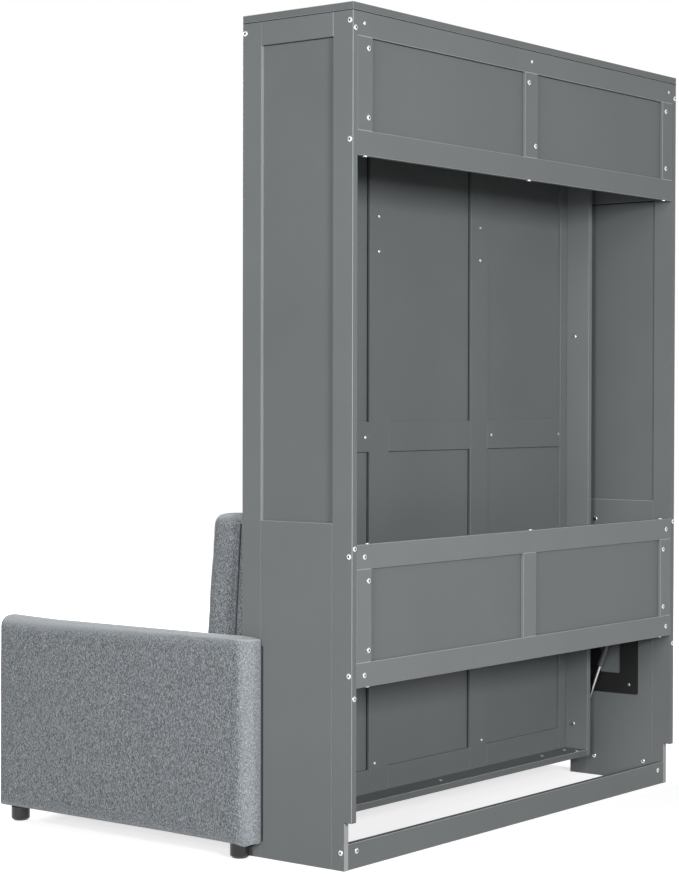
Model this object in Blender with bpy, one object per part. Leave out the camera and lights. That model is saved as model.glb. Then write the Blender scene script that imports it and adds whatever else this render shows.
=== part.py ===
"""A wall bed for a full-size mattress, in a frame-and-panel cabinet, with a sofa in front.

The wall is at y = 0 of the cabinet, and the sofa faces -Y. The bed stands upright in the
cabinet and swings down between the sofa's arms on two steel pivots, helped by gas struts.
Left is -X and right is +X, as seen by someone who faces the sofa. Metres, +Z up.
"""

import math

import bmesh
import bpy
from mathutils import Matrix, Vector

# Stock that the boards are cut from
BOARD = 0.018
THIN_PANEL = 0.005
PANEL_RECESS = 0.009
TONGUE = 0.008
EDGE_RADIUS = 0.0008
GAP = 0.0003
OVERRUN = 0.004

# Cabinet
CABINET_WIDTH = 1.560
CABINET_DEPTH = 0.345
CABINET_HEIGHT = 2.083
SIDE_STILE = 0.060
SIDE_TOP_RAIL = 0.060
SIDE_LOWER_BOARD = 0.836
SIDE_LINER_DROP = 0.344
BASEBOARD_NOTCH_DEPTH = 0.0235
BASEBOARD_NOTCH_HEIGHT = 0.118
HEADER_HEIGHT = 0.035
BASE_RAIL_HEIGHT = 0.063

# Back panels between the cabinet's sides
BACK_PANEL_HEIGHT = 0.345
BACK_STILE = 0.060
BACK_CENTRE_STILE = 0.062
BACK_RAIL = 0.060
MID_BACK_BOTTOM = 0.441

# Bed deck, which is also the cabinet's front
DECK_SIDE_PLAY = 0.008
DECK_TOP_PLAY = 0.007
DECK_BOTTOM = 0.066
DECK_STILE = 0.086
DECK_RAIL = 0.080
DECK_LOWER_WINDOW = 0.849
BED_RAIL_INSET = 0.032
BED_RAIL_DEPTH = 0.077

# Lift mechanism: places are measured back from the cabinet's front, and up from the floor
PIVOT_BACK = 0.045
PIVOT_HEIGHT = 0.305
CABINET_STUD_BACK = 0.209
CABINET_STUD_HEIGHT = 0.580
BED_STUD_BACK = 0.042
BED_STUD_HEIGHT = 0.136
STEEL = 0.003
LIFT_PLATE_BEFORE_PIVOT = 0.033
LIFT_PLATE_BELOW_PIVOT = 0.050
LIFT_PLATE_BEHIND_STUD = 0.027
LIFT_PLATE_ABOVE_STUD = 0.032
LIFT_PLATE_BAND = 0.060
LIFT_PLATE_FRONT_BAND = 0.095
LIFT_PLATE_CORNER = 0.006
BED_BRACKET_WIDTH = 0.066
BED_BRACKET_END = 0.026
PIVOT_RADIUS = 0.008
PIVOT_COLLAR_RADIUS = 0.014
PIVOT_IN_RAIL = 0.015
STUD_RADIUS = 0.005
STUD_SHOULDER_RADIUS = 0.008
STUD_CAP = 0.0022
RUNNING_GAP = 0.0004
SIDE_PLAY = 0.0005

# Gas struts
STRUT_FROM_BED_RAIL = 0.020
STRUT_EYE_RADIUS = 0.010
STRUT_EYE_WIDTH = 0.012
STRUT_TUBE_RADIUS = 0.010
STRUT_TUBE_END = 0.262
STRUT_TUBE_START = 0.026
STRUT_NECK_RADIUS = 0.006
STRUT_BORE_STOP = 0.040
STRUT_ROD_RADIUS = 0.005
STRUT_ROD_INSERT = 0.020
STRUT_BOLT_RADIUS = 0.007
STRUT_BOLT_HEAD = 0.003

# Fold-out legs at the bed's foot
LEG_INSET = 0.154
LEG_AXIS_BELOW_TOP = 0.058
LEG_AXIS_OUT = 0.018
LEG_WIDTH = 0.025
LEG_DEPTH = 0.022
LEG_PIN_RADIUS = 0.004
LEG_BRACKET_HEIGHT = 0.034
LEG_BRACKET_WING = 0.014
LEG_BAR_RADIUS = 0.010
LEG_BAR_DROP = 0.190
LEG_FLOOR_PLAY = 0.0005

# Sofa
ARM_THICKNESS = 0.056
ARM_BOTTOM = 0.037
ARM_TOP = 0.550
ARM_FRONT = 1.157
ARM_LAP = 0.070
ARM_EDGE_RADIUS = 0.012
FOOT_RADIUS = 0.025
FOOT_CHAMFER = 0.006
FOOT_INSET = 0.052
BENCH_SIDE_PLAY = 0.004
BENCH_FRONT_SETBACK = 0.006
BENCH_BASE_TOP = 0.232
BENCH_EDGE_RADIUS = 0.012
BENCH_BACK_PLAY = 0.004
RUNNER_WIDTH = 0.030
RUNNER_SIDE_INSET = 0.176
RUNNER_INSET = 0.030
SEAT_TOP = 0.402
SEAT_CROWN = 0.016
SEAT_DRAW = 0.005
SEAT_EDGE_RADIUS = 0.022
CUSHION_GAP = 0.002
BACKREST_SIDE_INSET = 0.005
BACKREST_BOTTOM = 0.356
BACKREST_TOP = 0.855
BACK_BOARD_TOP = 0.010
BACK_BOARD_BOTTOM = 0.040
BACK_BOARD_DROP = 0.030
BACK_CUSHION = 0.115
BACK_CUSHION_CROWN = 0.006
BACK_CUSHION_DRAW = 0.005
BACK_CUSHION_EDGE_RADIUS = 0.024

# Facets
ROUND_SEGMENTS = 24
SMALL_SEGMENTS = 16

# Places worked out from the sizes above, in the cabinet's own frame: wall at y = 0
FRONT = -CABINET_DEPTH
SIDE_INNER = CABINET_WIDTH / 2 - BOARD
CARCASS_TOP = CABINET_HEIGHT - BOARD
LINER_BOTTOM = CARCASS_TOP - SIDE_LINER_DROP
DECK_HALF = SIDE_INNER - DECK_SIDE_PLAY
DECK_TOP = CARCASS_TOP - HEADER_HEIGHT - DECK_TOP_PLAY
DECK_REAR = FRONT + BOARD
BED_RAIL_REAR = DECK_REAR + BED_RAIL_DEPTH
BED_RAIL_OUTER = DECK_HALF - BED_RAIL_INSET
BED_RAIL_INNER = BED_RAIL_OUTER - BOARD
PIVOT = Vector((0, FRONT + PIVOT_BACK, PIVOT_HEIGHT))
CABINET_STUD = Vector((0, FRONT + CABINET_STUD_BACK, CABINET_STUD_HEIGHT))
BED_STUD = Vector((0, FRONT + BED_STUD_BACK, BED_STUD_HEIGHT))
STRUT_X = BED_RAIL_OUTER + STRUT_FROM_BED_RAIL
STRUT_LENGTH = (BED_STUD - CABINET_STUD).length
STRUT_TILT = math.atan2(BED_STUD.y - CABINET_STUD.y, CABINET_STUD.z - BED_STUD.z)
LEG_FROM_CENTRE = DECK_HALF - LEG_INSET
LEG_AXIS = Vector((0, FRONT - LEG_AXIS_OUT, DECK_TOP - LEG_AXIS_BELOW_TOP))
LEG_LENGTH = PIVOT_HEIGHT - PIVOT_BACK - LEG_AXIS_OUT - LEG_FLOOR_PLAY
ARM_INNER = CABINET_WIDTH / 2 + GAP
ARM_REAR = FRONT + ARM_LAP
BENCH_HALF = ARM_INNER - BENCH_SIDE_PLAY
RUNNER_FROM_CENTRE = BENCH_HALF - RUNNER_SIDE_INSET
BACKREST_HALF = CABINET_WIDTH / 2 - BACKREST_SIDE_INSET
BENCH_FRONT = -ARM_FRONT + BENCH_FRONT_SETBACK
BENCH_REAR = FRONT - GAP - BACK_BOARD_BOTTOM - GAP - BACK_CUSHION - BENCH_BACK_PLAY
SIDES = {"left": -1, "right": 1}

bpy.ops.object.select_all(action="DESELECT")
for old in list(bpy.data.objects):
    bpy.data.objects.remove(old, do_unlink=True)


def material(name, colour, roughness, metallic=0.0):
    """A Principled material; colour is linear red, green and blue."""
    made = bpy.data.materials.new(name)
    made.use_nodes = True
    shader = made.node_tree.nodes["Principled BSDF"]
    shader.inputs["Base Color"].default_value = (*colour, 1.0)
    shader.inputs["Roughness"].default_value = roughness
    shader.inputs["Metallic"].default_value = metallic
    made.diffuse_color = (*colour, 1.0)
    return made


GREY_PAINT = material("grey_painted_board", (0.165, 0.18, 0.18), 0.45)
BLACK_STEEL = material("black_coated_steel", (0.012, 0.012, 0.013), 0.5, 0.4)
BRIGHT_STEEL = material("bright_steel", (0.60, 0.61, 0.62), 0.25, 1.0)
GREY_FABRIC = material("grey_woven_fabric", (0.22, 0.24, 0.26), 0.95)
BLACK_PLASTIC = material("black_plastic", (0.02, 0.02, 0.02), 0.5)


PLACES = {}


def place_of(carrier):
    """Where a carrier stands in the cabinet's frame."""
    return PLACES[carrier.name]


def empty(name, place, parent=None):
    """An empty that carries a moving body, on its joint's axis; place is in the cabinet's frame."""
    made = bpy.data.objects.new(name, None)
    bpy.context.scene.collection.objects.link(made)
    made.parent = parent
    PLACES[made.name] = Vector(place)
    made.location = place_of(made) - (place_of(parent) if parent else Vector())
    return made


def link(name, mesh, finish, carrier, origin):
    """An object of mesh, whose points are measured from origin in the cabinet's frame."""
    made = bpy.data.objects.new(name, mesh)
    bpy.context.scene.collection.objects.link(made)
    mesh.materials.append(finish)
    made.parent = carrier
    made.location = Vector(origin) - place_of(carrier)
    return made


def mesh_from(bm, name, smooth=False):
    """The finished mesh of bm."""
    bmesh.ops.recalc_face_normals(bm, faces=bm.faces[:])
    mesh = bpy.data.meshes.new(name)
    bm.to_mesh(mesh)
    bm.free()
    if smooth:
        mesh.shade_smooth()
        mesh.set_sharp_from_angle(angle=math.radians(35))
    return mesh


def block_mesh(name, size):
    """A box of the given size about its own centre."""
    bm = bmesh.new()
    bmesh.ops.create_cube(bm, size=1)
    bmesh.ops.scale(bm, vec=size, verts=bm.verts[:])
    return mesh_from(bm, name)


def board(name, low, high, finish, carrier, eased=True):
    """A rectangular board between two corners, with its edges just eased."""
    low, high = Vector(low), Vector(high)
    made = link(name, block_mesh(name, high - low), finish, carrier, (low + high) / 2)
    if eased:
        ease = made.modifiers.new("eased_edges", "BEVEL")
        ease.width = EDGE_RADIUS
        ease.segments = 1
        ease.limit_method = "NONE"
    return made


def mirrored(side, x_low, x_high):
    """The two X ends of a piece of the right side, on the side asked for, lower one first."""
    return sorted((side * x_low, side * x_high))


def guide(name, mesh, carrier, origin):
    """A wire-only shape that cuts others or is joined to them, and isn't a piece itself."""
    made = bpy.data.objects.new(name, mesh)
    bpy.context.scene.collection.objects.link(made)
    made.parent = carrier
    made.location = Vector(origin) - place_of(carrier)
    made.hide_render = True
    made.display_type = "WIRE"
    return made


def combine(piece, tool, operation="DIFFERENCE"):
    """Cuts the tool out of a piece, or joins it on."""
    boolean = piece.modifiers.new(operation.lower(), "BOOLEAN")
    boolean.operation = operation
    boolean.object = tool
    boolean.solver = "EXACT"


def cut_boxes(piece, name, boxes, carrier):
    """Cuts boxes, each given by two corners, that don't touch one another."""
    bm = bmesh.new()
    for low, high in boxes:
        low, high = Vector(low), Vector(high)
        made = bmesh.ops.create_cube(bm, size=1)["verts"]
        bmesh.ops.scale(bm, vec=high - low, verts=made)
        bmesh.ops.translate(bm, vec=(low + high) / 2, verts=made)
    combine(piece, guide(name, mesh_from(bm, name), carrier, Vector()))


def grown(low, high, by):
    """Two corners moved apart by the same distance each way."""
    margin = Vector((by, by, by))
    return Vector(low) - margin, Vector(high) + margin


def thin_panel(name, low, high, neighbours, carrier, finish):
    """A thin panel whose edges stand in grooves that are cut in its neighbours."""
    made = board(name, low, high, finish, carrier, eased=False)
    for piece in neighbours:
        cut_boxes(piece, f"{name}_groove", [grown(low, high, GAP)], carrier)
    return made


def extruded(name, outline, start, end, axis="x"):
    """A flat outline drawn out along an axis from start to end.

    The outline is in y and z for the x axis, in x and z for y, and in x and y for z.
    """
    bm = bmesh.new()
    orders = {"x": (2, 0, 1), "y": (0, 2, 1), "z": (0, 1, 2)}
    corners = []
    for first, second in outline:
        flat = (first, second, start)
        corners.append(bm.verts.new([flat[i] for i in orders[axis]]))
    face = bm.faces.new(corners)
    moved = bmesh.ops.extrude_face_region(bm, geom=[face])["geom"]
    step = [end - start if letter == axis else 0 for letter in "xyz"]
    bmesh.ops.translate(bm, vec=step, verts=[v for v in moved if isinstance(v, bmesh.types.BMVert)])
    return bm


def turned(profile, segments, axis):
    """A solid of revolution about the X or Z axis; the profile is (radius, distance along it)."""
    bm = bmesh.new()
    for (lower_radius, lower), (upper_radius, upper) in zip(profile, profile[1:]):
        if lower == upper:
            continue
        bmesh.ops.create_cone(
            bm, cap_ends=False, segments=segments, radius1=lower_radius, radius2=upper_radius,
            depth=upper - lower, matrix=Matrix.Translation((0, 0, (lower + upper) / 2)))
    edges = [edge for edge in bm.edges if edge.is_boundary]
    levels = sorted({round(edge.verts[0].co.z, 7) for edge in edges})
    for level in levels:
        rings = [edge for edge in edges if round(edge.verts[0].co.z, 7) == level]
        if len(rings) > segments:
            radii = {round(edge.verts[0].co.xy.length, 7) for edge in rings}
            if len(radii) > 1:
                bmesh.ops.bridge_loops(bm, edges=rings)
    bmesh.ops.remove_doubles(bm, verts=bm.verts[:], dist=GAP / 10)
    bmesh.ops.holes_fill(bm, edges=[edge for edge in bm.edges if edge.is_boundary], sides=0)
    if axis == "x":
        bmesh.ops.rotate(bm, verts=bm.verts[:], matrix=Matrix.Rotation(math.pi / 2, 3, "Y"))
    return bm


def rounded_outline(low, high, radius, steps):
    """A rectangle in two coordinates with rounded corners."""
    centres = [
        (high[0] - radius, high[1] - radius, 0), (low[0] + radius, high[1] - radius, 1),
        (low[0] + radius, low[1] + radius, 2), (high[0] - radius, low[1] + radius, 3)]
    points = []
    for first, second, quarter in centres:
        for step in range(steps + 1):
            angle = (quarter + step / steps) * math.pi / 2
            points.append((first + radius * math.cos(angle), second + radius * math.sin(angle)))
    return points


def stations(half, radius, inner):
    """Cuts across a padded block: close together at its rounded edges, even between them."""
    edge_shares = (0.0, 0.5, 1.0)
    outer = [half - radius * share for share in edge_shares[1:]]
    flat = half - radius
    between = [flat * (2 * step / inner - 1) for step in range(1, inner)]
    return sorted([-place for place in outer] + between + outer)


def padded(name, size, radius, cells, crown, draw, lean=0.0):
    """A padded block about its own centre: crowned face, drawn-in sides, rounded edges.

    crown is (axis, sign, depth) of the face that stands proud in its middle. The block's
    corners reach its full size and its sides curve in between them by draw. lean shears it
    along Y from bottom to top.
    """
    half = Vector(size) / 2
    bm = bmesh.new()
    bmesh.ops.create_cube(bm, size=1)
    bmesh.ops.scale(bm, vec=size, verts=bm.verts[:])
    for axis in range(3):
        normal = [1 if axis == other else 0 for other in range(3)]
        for place in stations(half[axis], radius, cells[axis]):
            bmesh.ops.bisect_plane(
                bm, geom=bm.verts[:] + bm.edges[:] + bm.faces[:],
                plane_co=[place * part for part in normal], plane_no=normal)
    face_axis, face_sign, depth = crown
    for vert in bm.verts:
        share = [vert.co[axis] / half[axis] for axis in range(3)]
        core = Vector([max(-half[a] + radius, min(half[a] - radius, vert.co[a])) for a in range(3)])
        away = vert.co - core
        if away.length > 0:
            vert.co = core + away.normalized() * radius
        flat = [axis for axis in range(3) if axis != face_axis]
        fall = 1 - (1 - share[flat[0]] ** 4) * (1 - share[flat[1]] ** 4)
        if share[face_axis] * face_sign > 0:
            vert.co[face_axis] -= face_sign * depth * fall * abs(share[face_axis])
        for axis, along in (flat, flat[::-1]):
            vert.co[axis] -= draw * share[axis] * (1 - share[along] ** 2)
        vert.co.y += lean * (vert.co.z / half.z)
    return mesh_from(bm, name, smooth=True)


ROOT = empty("wall_bed", (0, 0, 0))
ROOT.location = (0, ARM_FRONT / 2, 0)
BED = empty("bed_carrier", PIVOT, ROOT)
LEGS = empty("leg_carrier", LEG_AXIS, BED)
BENCH = empty("bench_carrier", (0, (BENCH_FRONT + BENCH_REAR) / 2, 0), ROOT)


def cabinet_side(word, side):
    """One frame-and-panel side: two stiles, a top rail with its liner, a lower board, a panel."""
    x_low, x_high = mirrored(side, SIDE_INNER, CABINET_WIDTH / 2)
    notch = BASEBOARD_NOTCH_DEPTH
    outline = [
        (-SIDE_STILE, 0), (-notch, 0), (-notch, BASEBOARD_NOTCH_HEIGHT),
        (0, BASEBOARD_NOTCH_HEIGHT), (0, CARCASS_TOP - GAP), (-SIDE_STILE, CARCASS_TOP - GAP)]
    rear = link(f"rear_stile_{word}", mesh_from(extruded(word, outline, x_low, x_high), word),
                GREY_PAINT, ROOT, Vector())
    front = board(f"front_stile_{word}", (x_low, FRONT, 0),
                  (x_high, FRONT + SIDE_STILE, CARCASS_TOP - GAP), GREY_PAINT, ROOT)
    y_front, y_rear = FRONT + SIDE_STILE + GAP, -SIDE_STILE - GAP
    panel_outer = CABINET_WIDTH / 2 - PANEL_RECESS
    panel_inner = panel_outer - THIN_PANEL
    rail_bottom = CARCASS_TOP - SIDE_TOP_RAIL
    outline = [
        (side * SIDE_INNER, LINER_BOTTOM), (side * (panel_inner - GAP), LINER_BOTTOM),
        (side * (panel_inner - GAP), rail_bottom), (side * CABINET_WIDTH / 2, rail_bottom),
        (side * CABINET_WIDTH / 2, CARCASS_TOP - GAP), (side * SIDE_INNER, CARCASS_TOP - GAP)]
    top = link(f"side_top_rail_{word}",
               mesh_from(extruded(word, outline, y_front, y_rear, "y"), word),
               GREY_PAINT, ROOT, Vector())
    lower = board(f"side_lower_board_{word}", (x_low, y_front, 0),
                  (x_high, y_rear, SIDE_LOWER_BOARD), GREY_PAINT, ROOT)
    x_low, x_high = mirrored(side, panel_inner, panel_outer)
    thin_panel(
        f"side_panel_{word}",
        (x_low, FRONT + SIDE_STILE - TONGUE, SIDE_LOWER_BOARD - TONGUE),
        (x_high, -SIDE_STILE + TONGUE, rail_bottom + TONGUE),
        (rear, front, top, lower), ROOT, GREY_PAINT)


def back_panel(word, bottom, top):
    """A frame of two rails and three stiles between the cabinet's sides, with two thin panels."""
    half = SIDE_INNER - GAP
    frame = board(f"{word}_back_frame", (-half, -BOARD, bottom), (half, 0, top), GREY_PAINT, ROOT)
    window_bottom, window_top = bottom + BACK_RAIL, top - BACK_RAIL
    inner, outer = BACK_CENTRE_STILE / 2, SIDE_INNER - BACK_STILE
    windows = []
    for side in SIDES.values():
        x_low, x_high = mirrored(side, inner, outer)
        windows.append(((x_low, -BOARD - OVERRUN, window_bottom), (x_high, OVERRUN, window_top)))
    cut_boxes(frame, f"{word}_back_windows", windows, ROOT)
    for name, side in SIDES.items():
        x_low, x_high = mirrored(side, inner - TONGUE, outer + TONGUE)
        thin_panel(
            f"{word}_back_panel_{name}",
            (x_low, -PANEL_RECESS - THIN_PANEL, window_bottom - TONGUE),
            (x_high, -PANEL_RECESS, window_top + TONGUE), (frame,), ROOT, GREY_PAINT)


def carcass():
    """Top board, front header, base rail and both back panels."""
    half = SIDE_INNER - GAP
    board("top_board", (-CABINET_WIDTH / 2, FRONT, CARCASS_TOP),
          (CABINET_WIDTH / 2, 0, CABINET_HEIGHT), GREY_PAINT, ROOT)
    board("front_header", (-half, FRONT, CARCASS_TOP - HEADER_HEIGHT),
          (half, FRONT + BOARD, CARCASS_TOP - GAP), GREY_PAINT, ROOT)
    rail_rear = -BASEBOARD_NOTCH_DEPTH
    board("base_rail", (-half, rail_rear - BOARD, 0), (half, rail_rear, BASE_RAIL_HEIGHT),
          GREY_PAINT, ROOT)
    back_panel("upper", CARCASS_TOP - BACK_PANEL_HEIGHT, CARCASS_TOP - GAP)
    back_panel("mid", MID_BACK_BOTTOM, MID_BACK_BOTTOM + BACK_PANEL_HEIGHT)


def deck():
    """The bed's deck: a frame of four stiles and three rails round six thin panels."""
    half = DECK_HALF
    frame = board("deck_frame", (-half, FRONT, DECK_BOTTOM), (half, DECK_REAR, DECK_TOP),
                  GREY_PAINT, BED)
    columns = len(("left", "centre", "right"))
    column = (2 * DECK_HALF - (columns + 1) * DECK_STILE) / columns
    mid_rail = DECK_BOTTOM + DECK_RAIL + DECK_LOWER_WINDOW
    rows = {
        "lower": (DECK_BOTTOM + DECK_RAIL, mid_rail),
        "upper": (mid_rail + DECK_RAIL, DECK_TOP - DECK_RAIL)}
    places = {}
    for number, word in enumerate(("left", "centre", "right")):
        x_low = -half + DECK_STILE + number * (column + DECK_STILE)
        for row, (z_low, z_high) in rows.items():
            places[f"{row}_{word}"] = (x_low, x_low + column, z_low, z_high)
    cut_boxes(frame, "deck_windows", [
        ((x_low, FRONT - OVERRUN, z_low), (x_high, DECK_REAR + OVERRUN, z_high))
        for x_low, x_high, z_low, z_high in places.values()], BED)
    for word, (x_low, x_high, z_low, z_high) in places.items():
        thin_panel(
            f"deck_panel_{word}",
            (x_low - TONGUE, DECK_REAR - PANEL_RECESS - THIN_PANEL, z_low - TONGUE),
            (x_high + TONGUE, DECK_REAR - PANEL_RECESS, z_high + TONGUE), (frame,), BED, GREY_PAINT)


def bed_box():
    """The rails round the mattress: two side rails, and an end board at the head and the foot."""
    for word, side in SIDES.items():
        x_low, x_high = mirrored(side, BED_RAIL_INNER, BED_RAIL_OUTER)
        rail = board(f"bed_side_rail_{word}", (x_low, DECK_REAR + GAP, DECK_BOTTOM),
                     (x_high, BED_RAIL_REAR, DECK_TOP), GREY_PAINT, BED)
        bore = turned([(PIVOT_RADIUS + RUNNING_GAP, 0), (PIVOT_RADIUS + RUNNING_GAP,
                      PIVOT_IN_RAIL + OVERRUN)], ROUND_SEGMENTS, "x")
        start = min(side * (BED_RAIL_OUTER - PIVOT_IN_RAIL), side * (BED_RAIL_OUTER + OVERRUN))
        combine(rail, guide(f"pivot_bore_{word}", mesh_from(bore, "bore"), BED,
                            PIVOT + Vector((start, 0, 0))))
    half = BED_RAIL_INNER - GAP
    for word, bottom in (("head", DECK_BOTTOM), ("foot", DECK_TOP - BOARD)):
        board(f"bed_end_board_{word}", (-half, DECK_REAR + GAP, bottom),
              (half, BED_RAIL_REAR, bottom + BOARD), GREY_PAINT, BED)


def along_x(side, profile):
    """A profile of (radius, X on the right side) made to run from low X to high X."""
    points = [(radius, side * x) for radius, x in profile]
    return points if points[0][1] < points[-1][1] else points[::-1]


def lift_plate(word, side):
    """The black steel plate on the cabinet's side, with the stud that holds the strut's top."""
    outer = SIDE_INNER - GAP
    inner = outer - STEEL
    low = (PIVOT.y - LIFT_PLATE_BEFORE_PIVOT, PIVOT.z - LIFT_PLATE_BELOW_PIVOT)
    high = (CABINET_STUD.y + LIFT_PLATE_BEHIND_STUD, CABINET_STUD.z + LIFT_PLATE_ABOVE_STUD)
    x_low, x_high = mirrored(side, inner, outer)
    outline = rounded_outline(low, high, LIFT_PLATE_CORNER, 3)
    plate = link(f"lift_plate_{word}", mesh_from(extruded(word, outline, x_low, x_high), word),
                 BLACK_STEEL, ROOT, Vector())
    window_low = (low[0] + LIFT_PLATE_FRONT_BAND, low[1] + LIFT_PLATE_BAND)
    window_high = (high[0] - LIFT_PLATE_BAND, high[1] - LIFT_PLATE_BAND)
    outline = rounded_outline(window_low, window_high, LIFT_PLATE_CORNER, 3)
    window = extruded(word, outline, x_low - OVERRUN, x_high + OVERRUN)
    combine(plate, guide(f"lift_window_{word}", mesh_from(window, "window"), ROOT, Vector()))
    eye_outer = STRUT_X + STRUT_EYE_WIDTH / 2 + SIDE_PLAY
    eye_inner = STRUT_X - STRUT_EYE_WIDTH / 2 - SIDE_PLAY
    stud = turned(along_x(side, [
        (STUD_SHOULDER_RADIUS, eye_inner - STUD_CAP), (STUD_SHOULDER_RADIUS, eye_inner),
        (STUD_RADIUS, eye_inner), (STUD_RADIUS, eye_outer),
        (STUD_SHOULDER_RADIUS, eye_outer), (STUD_SHOULDER_RADIUS, (inner + outer) / 2)]),
        ROUND_SEGMENTS, "x")
    combine(plate, guide(f"strut_stud_{word}", mesh_from(stud, "stud"), ROOT, CABINET_STUD), "UNION")


def pivot_pin(word, side):
    """The pin that the bed turns on: a collar against the plate and a shaft into the bed's rail."""
    bracket_face = BED_RAIL_OUTER + GAP + STEEL
    pin = turned(along_x(side, [
        (PIVOT_RADIUS, BED_RAIL_OUTER - PIVOT_IN_RAIL + SIDE_PLAY),
        (PIVOT_RADIUS, bracket_face + SIDE_PLAY),
        (PIVOT_COLLAR_RADIUS, bracket_face + SIDE_PLAY),
        (PIVOT_COLLAR_RADIUS, SIDE_INNER - GAP - STEEL - GAP)]), ROUND_SEGMENTS, "x")
    link(f"pivot_pin_{word}", mesh_from(pin, "pin", smooth=True), BRIGHT_STEEL, ROOT, PIVOT)


def bed_bracket(word, side):
    """The steel plate on the bed's rail, with the pivot's bore and the boss for the strut."""
    inner = BED_RAIL_OUTER + GAP
    outer = inner + STEEL
    middle = (PIVOT.y + BED_STUD.y) / 2
    low = (middle - BED_BRACKET_WIDTH / 3, BED_STUD_HEIGHT - BED_BRACKET_END)
    high = (middle + BED_BRACKET_WIDTH * 2 / 3, PIVOT_HEIGHT + BED_BRACKET_END)
    x_low, x_high = mirrored(side, inner, outer)
    outline = rounded_outline(low, high, LIFT_PLATE_CORNER, 3)
    plate = link(f"bed_bracket_{word}",
                 mesh_from(extruded(word, outline, x_low, x_high), word), BLACK_STEEL, BED,
                 Vector())
    bore = turned(along_x(side, [
        (PIVOT_RADIUS + RUNNING_GAP, inner - OVERRUN), (PIVOT_RADIUS + RUNNING_GAP, outer + OVERRUN)]),
        ROUND_SEGMENTS, "x")
    combine(plate, guide(f"bracket_bore_{word}", mesh_from(bore, "bore"), BED, PIVOT))
    boss = turned(along_x(side, [
        (STUD_SHOULDER_RADIUS, (inner + outer) / 2),
        (STUD_SHOULDER_RADIUS, STRUT_X - STRUT_EYE_WIDTH / 2 - GAP)]), ROUND_SEGMENTS, "x")
    combine(plate, guide(f"bed_boss_{word}", mesh_from(boss, "boss"), BED, BED_STUD), "UNION")


def gas_strut(word, side):
    """A tube that hangs from the cabinet's stud and a rod that slides in it, held by the bed."""
    hung = empty(f"strut_tube_carrier_{word}", CABINET_STUD + Vector((side * STRUT_X, 0, 0)), ROOT)
    tube = turned([
        (STRUT_TUBE_RADIUS, -STRUT_TUBE_END), (STRUT_TUBE_RADIUS, -STRUT_TUBE_START),
        (STRUT_NECK_RADIUS, -STRUT_TUBE_START), (STRUT_NECK_RADIUS, -STRUT_EYE_RADIUS / 2)],
        ROUND_SEGMENTS, "z")
    made = link(f"strut_tube_{word}", mesh_from(tube, "tube", smooth=True), BLACK_STEEL, hung,
                place_of(hung))
    half = STRUT_EYE_WIDTH / 2
    eye = turned([(STRUT_EYE_RADIUS, -half), (STRUT_EYE_RADIUS, half)], ROUND_SEGMENTS, "x")
    combine(made, guide(f"tube_eye_{word}", mesh_from(eye, "eye"), hung, place_of(hung)), "UNION")
    bore = turned([(STUD_RADIUS + RUNNING_GAP, -half - OVERRUN),
                   (STUD_RADIUS + RUNNING_GAP, half + OVERRUN)], ROUND_SEGMENTS, "x")
    combine(made, guide(f"tube_eye_bore_{word}", mesh_from(bore, "bore"), hung, place_of(hung)))
    bore = turned([(STRUT_ROD_RADIUS + RUNNING_GAP, -STRUT_TUBE_END - OVERRUN),
                   (STRUT_ROD_RADIUS + RUNNING_GAP, -STRUT_BORE_STOP)], ROUND_SEGMENTS, "z")
    combine(made, guide(f"tube_bore_{word}", mesh_from(bore, "bore"), hung, place_of(hung)))

    rod_carrier = empty(f"strut_rod_carrier_{word}", BED_STUD + Vector((side * STRUT_X, 0, 0)), hung)
    top = STRUT_LENGTH - STRUT_TUBE_END + STRUT_ROD_INSERT
    rod = turned([(STRUT_ROD_RADIUS, 0), (STRUT_ROD_RADIUS, top)], ROUND_SEGMENTS, "z")
    made = link(f"strut_rod_{word}", mesh_from(rod, "rod", smooth=True), BRIGHT_STEEL, rod_carrier,
                place_of(rod_carrier))
    eye = turned(along_x(side, [
        (STRUT_EYE_RADIUS, -half), (STRUT_EYE_RADIUS, half), (STRUT_BOLT_RADIUS, half),
        (STRUT_BOLT_RADIUS, half + STRUT_BOLT_HEAD)]), ROUND_SEGMENTS, "x")
    combine(made, guide(f"rod_eye_{word}", mesh_from(eye, "eye"), rod_carrier,
                        place_of(rod_carrier)), "UNION")
    offset = place_of(rod_carrier) - place_of(hung)
    hung.rotation_euler.x = STRUT_TILT
    rod_carrier.location = Matrix.Rotation(-STRUT_TILT, 3, "X") @ offset


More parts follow.
